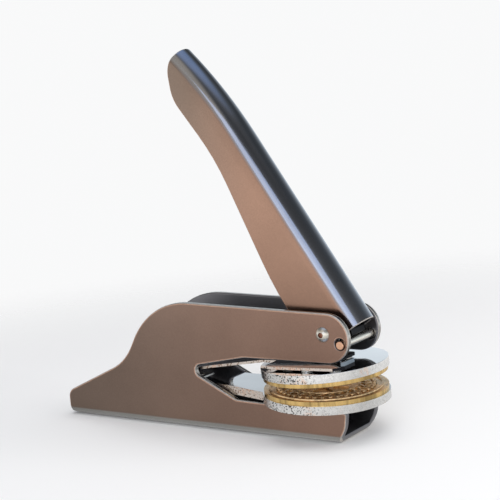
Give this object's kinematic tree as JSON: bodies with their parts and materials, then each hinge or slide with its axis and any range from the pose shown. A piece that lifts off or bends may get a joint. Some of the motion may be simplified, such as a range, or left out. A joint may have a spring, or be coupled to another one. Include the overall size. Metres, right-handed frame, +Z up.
{
  "type": "seal embosser",
  "caption": "Hand-held seal embosser: folded steel body with a V-shaped jaw opening, channel handle on a cross shaft, and a slide-in die set whose upper jaw closes as the handle is pressed",
  "frame": {"origin": "on the flat base, in the middle plane, straight below the centre of the dies", "axes": "X points forward to the dies, Y across the body, Z up"},
  "size_m": [0.1346, 0.044, 0.1356],
  "materials": {
    "bronze_sheet": "satin bronze-toned nickel plate on pressed steel",
    "black_steel": "black oxide",
    "bright_steel": "plain zinc-plated steel",
    "chromed": "polished chrome over turned edges",
    "die_brass": "turned and engraved brass",
    "coppered": "copper-washed steel pin"
  },
  "bodies": {
    "body": {"body_shell": "bronze_sheet", "die_bed": "black_steel", "bed_posts": "black_steel", "bed_screws": "bright_steel", "pivot_shaft": "bright_steel", "pivot_screw_near": "bright_steel", "pivot_screw_far": "bright_steel", "spacer_near": "bright_steel", "spacer_far": "bright_steel", "stop_pin": "coppered"},
    "handle": {"handle": "bronze_sheet", "press_cam": "black_steel", "cam_rivets": "bright_steel"},
    "die_base": {"lower_plate": "chromed", "lower_die": "die_brass", "lower_die_screws": "bright_steel", "hinge_ears": "black_steel", "ear_rivets": "bright_steel", "hinge_pin": "bright_steel", "lift_spring": "bright_steel", "lift_spring_rivet": "bright_steel"},
    "upper_jaw": {"upper_plate": "chromed", "upper_die": "die_brass", "upper_die_screws": "bright_steel", "pressure_leaf": "chromed", "leaf_rivets": "bright_steel"}
  },
  "joints": [
    {"name": "handle_hinge", "type": "hinge", "parent": "body", "child": "handle", "pos_m": [0.0073, 0, 0.0372], "axis": [0, -1, 0], "range_deg": [0, 46], "stiffness_Nm_per_rad": 0.06, "springref_deg": -60},
    {"name": "die_slide", "type": "slide", "parent": "body", "child": "die_base", "axis": [0.9997, 0, -0.0244], "range_m": [0, 0.06]},
    {"name": "upper_jaw_hinge", "type": "hinge", "parent": "die_base", "child": "upper_jaw", "pos_m": [-0.06824, 0, 0.01967], "axis": [0, 1, 0], "range_deg": [0, 3.4]}
  ],
  "couplings": [
    {"joint": "upper_jaw_hinge", "follows": "handle_hinge", "ratio": 0.0739}
  ]
}
